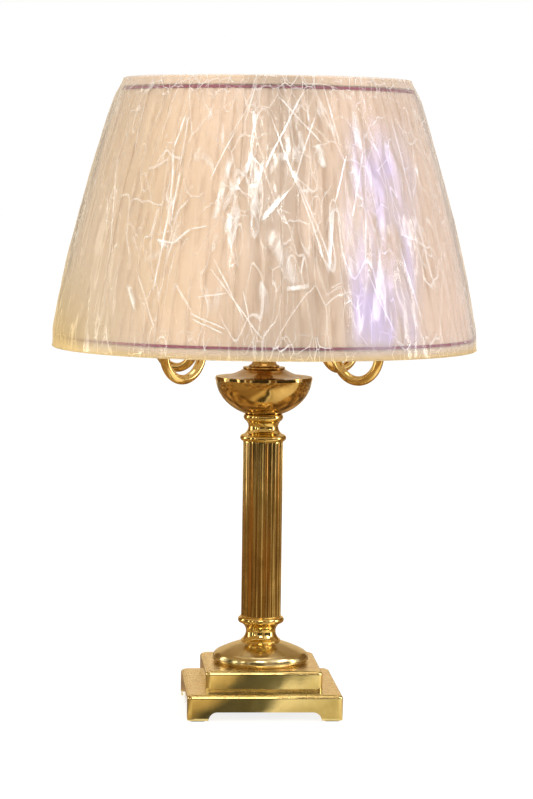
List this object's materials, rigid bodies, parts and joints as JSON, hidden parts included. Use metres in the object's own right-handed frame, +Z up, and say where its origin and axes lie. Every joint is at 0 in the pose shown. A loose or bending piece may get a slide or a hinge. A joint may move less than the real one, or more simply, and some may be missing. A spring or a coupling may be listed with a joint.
{
  "type": "candlestick lamp",
  "caption": "Brass candlestick table lamp with a stepped square foot, a fluted column, an urn, arms with candle lights and a pleated cloth shade under clear film.",
  "frame": {"origin": "middle of the lamp's footprint, on the surface it stands on", "axes": "+Z up, -Y to the front face of the square base, X across it"},
  "size_m": [0.4247, 0.4246, 0.6317],
  "materials": {
    "polished_brass": "polished, clear lacquer",
    "plated_steel": "zinc plated",
    "weight_iron": "as cast, painted dark",
    "pad_rubber": "moulded, matt",
    "inlet_plastic": "moulded",
    "ivory_sleeve": "smooth, ivory",
    "holder_plastic": "moulded",
    "bulb_metal": "bright",
    "bulb_glass": "frosted inside",
    "frame_wire": "cream enamel",
    "shade_liner": "matt sheet",
    "pleated_cloth": "fine pleats, cream",
    "binding_cloth": "folded tape",
    "ribbon_cloth": "woven, dark red",
    "clear_film": "clear, creased"
  },
  "bodies": {
    "base": {"lower_plinth": "polished_brass", "upper_plinth": "polished_brass", "base_dome": "polished_brass", "lower_collar": "polished_brass", "column": "polished_brass", "upper_collar": "polished_brass", "urn_bowl": "polished_brass", "urn_cover": "polished_brass", "neck": "polished_brass", "stem": "polished_brass", "cluster_body": "polished_brass", "cluster_cap": "polished_brass", "shade_stem": "polished_brass", "shade_seat": "polished_brass", "arm_1": "polished_brass", "arm_2": "polished_brass", "arm_3": "polished_brass", "arm_4": "polished_brass", "drip_pan_1": "polished_brass", "drip_pan_2": "polished_brass", "drip_pan_3": "polished_brass", "drip_pan_4": "polished_brass", "tie_rod": "plated_steel", "base_nut": "plated_steel", "cluster_nut": "plated_steel", "weight_washer": "plated_steel", "base_weight": "weight_iron", "foot_pads": "pad_rubber", "cord_bushing": "inlet_plastic", "candle_sleeve_1": "ivory_sleeve", "candle_sleeve_2": "ivory_sleeve", "candle_sleeve_3": "ivory_sleeve", "candle_sleeve_4": "ivory_sleeve", "lampholder_1": "holder_plastic", "lampholder_2": "holder_plastic", "lampholder_3": "holder_plastic", "lampholder_4": "holder_plastic"},
    "shade": {"shade_spider": "frame_wire", "shade_top_ring": "frame_wire", "shade_bottom_ring": "frame_wire", "shade_ribs": "frame_wire", "shade_lining": "shade_liner", "shade_pleats": "pleated_cloth", "bottom_binding": "binding_cloth", "top_binding": "binding_cloth", "bottom_ribbon": "ribbon_cloth", "top_ribbon": "ribbon_cloth", "shade_wrap": "clear_film"},
    "finial": {"finial": "polished_brass"},
    "bulb_1": {"bulb_cap_1": "bulb_metal", "bulb_glass_1": "bulb_glass"},
    "bulb_2": {"bulb_cap_2": "bulb_metal", "bulb_glass_2": "bulb_glass"},
    "bulb_3": {"bulb_cap_3": "bulb_metal", "bulb_glass_3": "bulb_glass"},
    "bulb_4": {"bulb_cap_4": "bulb_metal", "bulb_glass_4": "bulb_glass"}
  },
  "joints": [
    {"name": "shade_lift", "type": "slide", "parent": "base", "child": "shade", "axis": [0, 0, 1], "range_m": [0, 0.25]},
    {"name": "finial_turn", "type": "hinge", "parent": "shade", "child": "finial", "pos_m": [0, 0, 0.5965], "axis": [0, 0, 1], "continuous": true},
    {"name": "bulb_1_turn", "type": "hinge", "parent": "base", "child": "bulb_1", "pos_m": [0.10394, 0.10394, 0.4123], "axis": [0, 0, 1], "continuous": true},
    {"name": "bulb_2_turn", "type": "hinge", "parent": "base", "child": "bulb_2", "pos_m": [-0.10394, 0.10394, 0.4123], "axis": [0, 0, 1], "continuous": true},
    {"name": "bulb_3_turn", "type": "hinge", "parent": "base", "child": "bulb_3", "pos_m": [-0.10394, -0.10394, 0.4123], "axis": [0, 0, 1], "continuous": true},
    {"name": "bulb_4_turn", "type": "hinge", "parent": "base", "child": "bulb_4", "pos_m": [0.10394, -0.10394, 0.4123], "axis": [0, 0, 1], "continuous": true}
  ]
}
